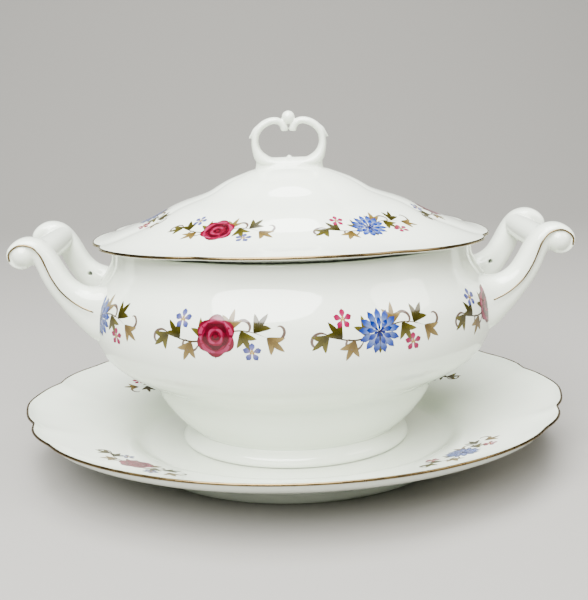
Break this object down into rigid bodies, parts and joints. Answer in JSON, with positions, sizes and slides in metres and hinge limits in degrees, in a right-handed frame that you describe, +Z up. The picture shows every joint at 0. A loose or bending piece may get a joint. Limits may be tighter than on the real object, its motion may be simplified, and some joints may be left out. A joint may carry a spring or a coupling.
{
  "type": "soup tureen",
  "caption": "Oval footed porcelain soup tureen with bracket handles, a lobed lift-off lid with a loop finial, and a lobed underplate.",
  "frame": {"origin": "on the table under the middle of the underplate", "axes": "+X along the length, from handle to handle; +Z up; -Y is the front"},
  "size_m": [0.34, 0.272, 0.2194],
  "materials": {
    "porcelain": "white glazed porcelain, floral transfer print, gilt line on the edges",
    "foot": "glazed sides, ground and unglazed foot face"
  },
  "bodies": {
    "underplate": {"underplate": "porcelain", "underplate_foot_ring": "foot"},
    "tureen": {"tureen_bowl": "porcelain", "tureen_foot_ring": "foot", "handle_left": "porcelain", "handle_right": "porcelain"},
    "lid": {"lid_dome": "porcelain", "lid_locating_flange": "porcelain", "lid_finial": "porcelain"}
  },
  "joints": [
    {"name": "tureen_lift", "type": "slide", "parent": "underplate", "child": "tureen", "axis": [0, 0, 1], "range_m": [0, 0.1]},
    {"name": "lid_lift", "type": "slide", "parent": "tureen", "child": "lid", "axis": [0, 0, 1], "range_m": [0, 0.12]}
  ]
}
